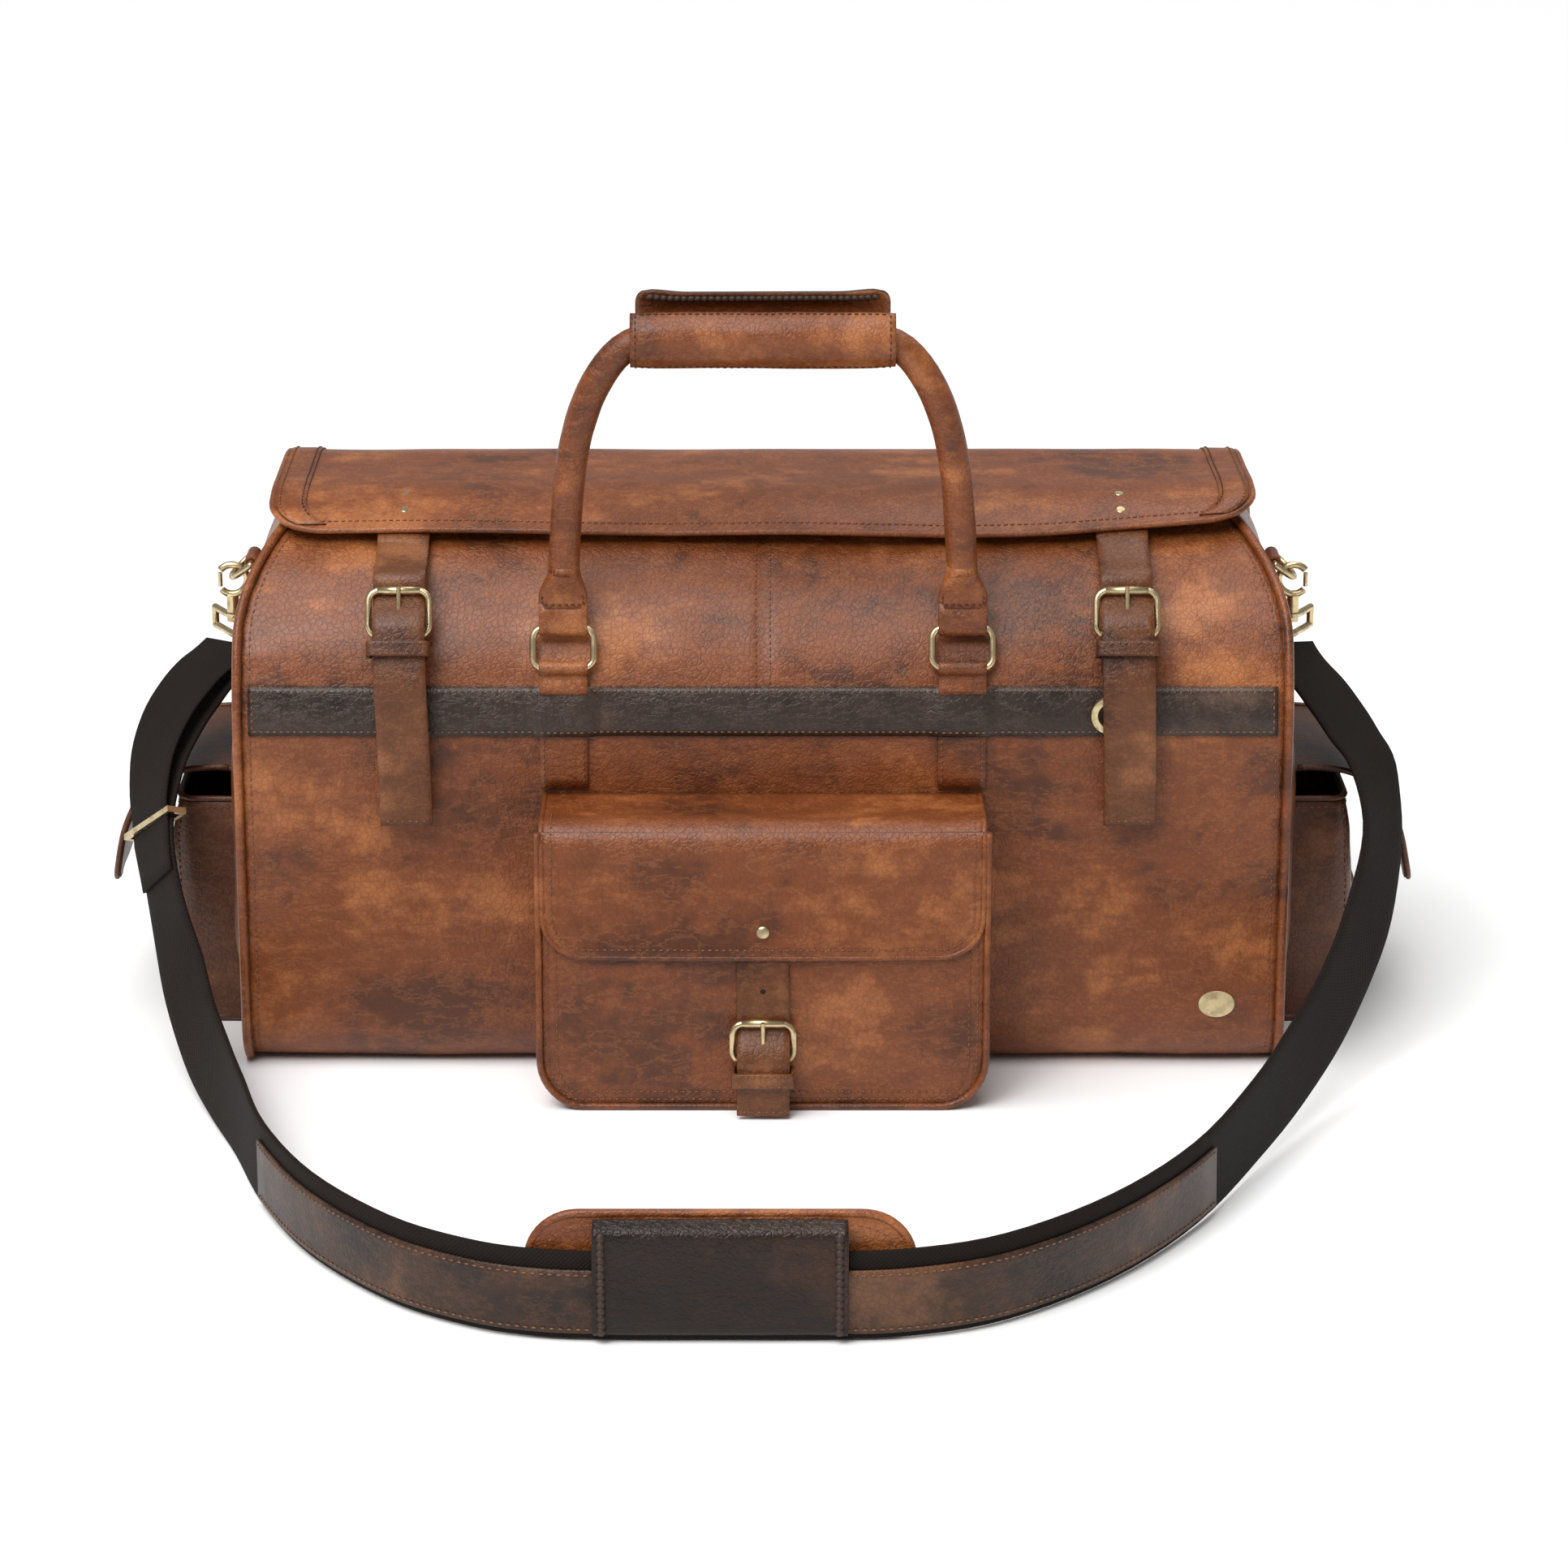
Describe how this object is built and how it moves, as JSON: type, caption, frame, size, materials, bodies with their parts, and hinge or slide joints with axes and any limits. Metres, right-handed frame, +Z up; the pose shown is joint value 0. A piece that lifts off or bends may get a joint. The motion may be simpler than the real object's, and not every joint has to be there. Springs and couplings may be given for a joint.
{
  "type": "weekender bag",
  "caption": "Leather weekender duffel with top flap, buckled straps, front and end pockets, carry handles and padded shoulder strap.",
  "frame": {"origin": "middle of the flat base, on the surface the bag stands on", "axes": "+X along the bag towards its right end as seen from the front, +Y towards the back, +Z up"},
  "size_m": [0.6466, 0.5983, 0.3804],
  "materials": {
    "tan_leather": "waxed pull-up leather, satin",
    "strap_leather": "dark brown strap leather, satin",
    "stripe_leather": "dark grey-brown leather, glossy",
    "antique_brass": "antique brass, softly polished",
    "lining_cloth": "plain cotton lining",
    "zip_tape": "woven tape with nylon coil",
    "webbing": "tightly woven webbing",
    "board": "matt"
  },
  "bodies": {
    "bag": {"front_panel": "tan_leather", "back_panel": "tan_leather", "base_panel": "tan_leather", "end_panel_left": "tan_leather", "end_panel_right": "tan_leather", "piping": "strap_leather", "lining": "lining_cloth", "base_board": "board", "zip_ends": "zip_tape", "stripes": "stripe_leather", "ring_tabs": "tan_leather", "badge": "antique_brass", "front_pocket": "tan_leather", "end_pocket_left": "tan_leather", "end_pocket_right": "tan_leather", "end_buckles": "antique_brass", "strap_loops": "antique_brass", "strap_slider": "antique_brass", "webbing": "webbing", "shoulder_pad": "tan_leather", "pad_cover": "strap_leather"},
    "mouth_front": {"mouth_leaf_front": "tan_leather", "zip_half_front": "zip_tape"},
    "mouth_rear": {"mouth_leaf_rear": "tan_leather", "zip_half_rear": "zip_tape"},
    "zip_slider": {"zip_slider": "antique_brass"},
    "zip_pull": {"zip_pull": "antique_brass"},
    "rings_front": {"rings_front": "antique_brass"},
    "handle_front": {"handle_front": "tan_leather", "grip_wrap": "tan_leather"},
    "grip_flap": {"grip_flap": "tan_leather"},
    "rings_rear": {"rings_rear": "antique_brass"},
    "handle_rear": {"handle_rear": "tan_leather"},
    "top_flap": {"top_flap": "tan_leather", "strap_heads": "strap_leather", "flap_rivets": "antique_brass"},
    "strap_left": {"flap_strap_left": "strap_leather", "buckle_left": "antique_brass", "chape_left": "strap_leather", "clip_left": "antique_brass"},
    "strap_right": {"flap_strap_right": "strap_leather", "buckle_right": "antique_brass", "chape_right": "strap_leather", "clip_right": "antique_brass"},
    "prong_left": {"prong_left": "antique_brass"},
    "prong_right": {"prong_right": "antique_brass"},
    "anchor_rings": {"anchor_rings": "antique_brass"},
    "pocket_flap": {"pocket_flap": "tan_leather", "pocket_strap": "strap_leather", "pocket_buckle": "antique_brass", "pocket_chape": "strap_leather"},
    "pocket_prong": {"pocket_prong": "antique_brass"},
    "end_flap_left": {"end_flap_left": "tan_leather"},
    "end_flap_right": {"end_flap_right": "tan_leather"},
    "dring_left": {"dring_left": "antique_brass"},
    "dring_right": {"dring_right": "antique_brass"},
    "hook_left": {"hook_left": "antique_brass"},
    "hook_right": {"hook_right": "antique_brass"},
    "gate_left": {"gate_left": "antique_brass"},
    "gate_right": {"gate_right": "antique_brass"}
  },
  "joints": [
    {"name": "flap_hinge", "type": "hinge", "parent": "bag", "child": "top_flap", "pos_m": [0, 0.10066, 0.23766], "axis": [-1, 0, 0], "range_deg": [0, 150]},
    {"name": "strap_left_swing", "type": "hinge", "parent": "top_flap", "child": "strap_left", "pos_m": [-0.173, -0.08048, 0.25079], "axis": [-1, 0, 0], "range_deg": [0, 60]},
    {"name": "strap_right_swing", "type": "hinge", "parent": "top_flap", "child": "strap_right", "pos_m": [0.173, -0.08048, 0.25079], "axis": [-1, 0, 0], "range_deg": [0, 60]},
    {"name": "prong_left_pivot", "type": "hinge", "parent": "strap_left", "child": "prong_left", "pos_m": [-0.173, -0.12124, 0.2176], "axis": [1, 0, 0], "range_deg": [0, 8]},
    {"name": "prong_right_pivot", "type": "hinge", "parent": "strap_right", "child": "prong_right", "pos_m": [0.173, -0.12124, 0.2176], "axis": [1, 0, 0], "range_deg": [0, 8]},
    {"name": "mouth_front_fold", "type": "hinge", "parent": "bag", "child": "mouth_front", "pos_m": [0, -0.044, 0.25763], "axis": [-1, 0, 0], "range_deg": [0, 80]},
    {"name": "mouth_rear_fold", "type": "hinge", "parent": "bag", "child": "mouth_rear", "pos_m": [0, 0.044, 0.25763], "axis": [1, 0, 0], "range_deg": [0, 80]},
    {"name": "zip_slide", "type": "slide", "parent": "bag", "child": "zip_slider", "axis": [-1, 0, 0], "range_m": [0, 0.4108]},
    {"name": "zip_pull_swing", "type": "hinge", "parent": "zip_slider", "child": "zip_pull", "pos_m": [0.2054, 0, 0.2659], "axis": [1, 0, 0], "range_deg": [-4, 2]},
    {"name": "rings_front_swing", "type": "hinge", "parent": "bag", "child": "rings_front", "pos_m": [0, -0.12116, 0.202], "axis": [-1, 0, 0], "range_deg": [-70, 5]},
    {"name": "handle_front_swing", "type": "hinge", "parent": "rings_front", "child": "handle_front", "pos_m": [0, -0.11529, 0.22007], "axis": [-1, 0, 0], "range_deg": [-50, 25]},
    {"name": "grip_flap_fold", "type": "hinge", "parent": "handle_front", "child": "grip_flap", "pos_m": [0, -0.10299, 0.35607], "axis": [1, 0, 0], "range_deg": [-60, 0]},
    {"name": "rings_rear_swing", "type": "hinge", "parent": "bag", "child": "rings_rear", "pos_m": [0, 0.12116, 0.202], "axis": [-1, 0, 0], "range_deg": [-90, 0]},
    {"name": "handle_rear_swing", "type": "hinge", "parent": "rings_rear", "child": "handle_rear", "pos_m": [0, 0.13572, 0.18979], "axis": [-1, 0, 0], "range_deg": [-90, 0]},
    {"name": "anchor_swing", "type": "hinge", "parent": "bag", "child": "anchor_rings", "pos_m": [0, -0.12915, 0.164], "axis": [-1, 0, 0], "range_deg": [0, 12]},
    {"name": "pocket_flap_hinge", "type": "hinge", "parent": "bag", "child": "pocket_flap", "pos_m": [0, -0.1266, 0.1403], "axis": [-1, 0, 0], "range_deg": [0, 60]},
    {"name": "pocket_prong_pivot", "type": "hinge", "parent": "pocket_flap", "child": "pocket_prong", "pos_m": [0, -0.1866, 0.027], "axis": [1, 0, 0], "range_deg": [0, 8]},
    {"name": "end_flap_left_hinge", "type": "hinge", "parent": "bag", "child": "end_flap_left", "pos_m": [-0.2523, 0, 0.132], "axis": [0, 1, 0], "range_deg": [-12, 3]},
    {"name": "end_flap_right_hinge", "type": "hinge", "parent": "bag", "child": "end_flap_right", "pos_m": [0.2523, 0, 0.132], "axis": [0, -1, 0], "range_deg": [-12, 3]},
    {"name": "dring_left_swing", "type": "hinge", "parent": "bag", "child": "dring_left", "pos_m": [-0.25384, 0, 0.224], "axis": [0, 1, 0], "range_deg": [-5, 4]},
    {"name": "dring_right_swing", "type": "hinge", "parent": "bag", "child": "dring_right", "pos_m": [0.25384, 0, 0.224], "axis": [0, -1, 0], "range_deg": [-5, 4]},
    {"name": "hook_left_swivel", "type": "hinge", "parent": "bag", "child": "hook_left", "pos_m": [-0.26456, 0, 0.213], "axis": [0, 0, 1], "range_deg": [-15, 15]},
    {"name": "hook_right_swivel", "type": "hinge", "parent": "bag", "child": "hook_right", "pos_m": [0.26456, 0, 0.213], "axis": [0, 0, 1], "range_deg": [-15, 15]},
    {"name": "gate_left_pivot", "type": "hinge", "parent": "hook_left", "child": "gate_left", "pos_m": [-0.27046, 0, 0.2095], "axis": [0, 1, 0], "range_deg": [0, 12], "stiffness_Nm_per_rad": 0.001, "springref_deg": -8.59},
    {"name": "gate_right_pivot", "type": "hinge", "parent": "hook_right", "child": "gate_right", "pos_m": [0.27046, 0, 0.2095], "axis": [0, -1, 0], "range_deg": [0, 12], "stiffness_Nm_per_rad": 0.001, "springref_deg": -8.59}
  ]
}
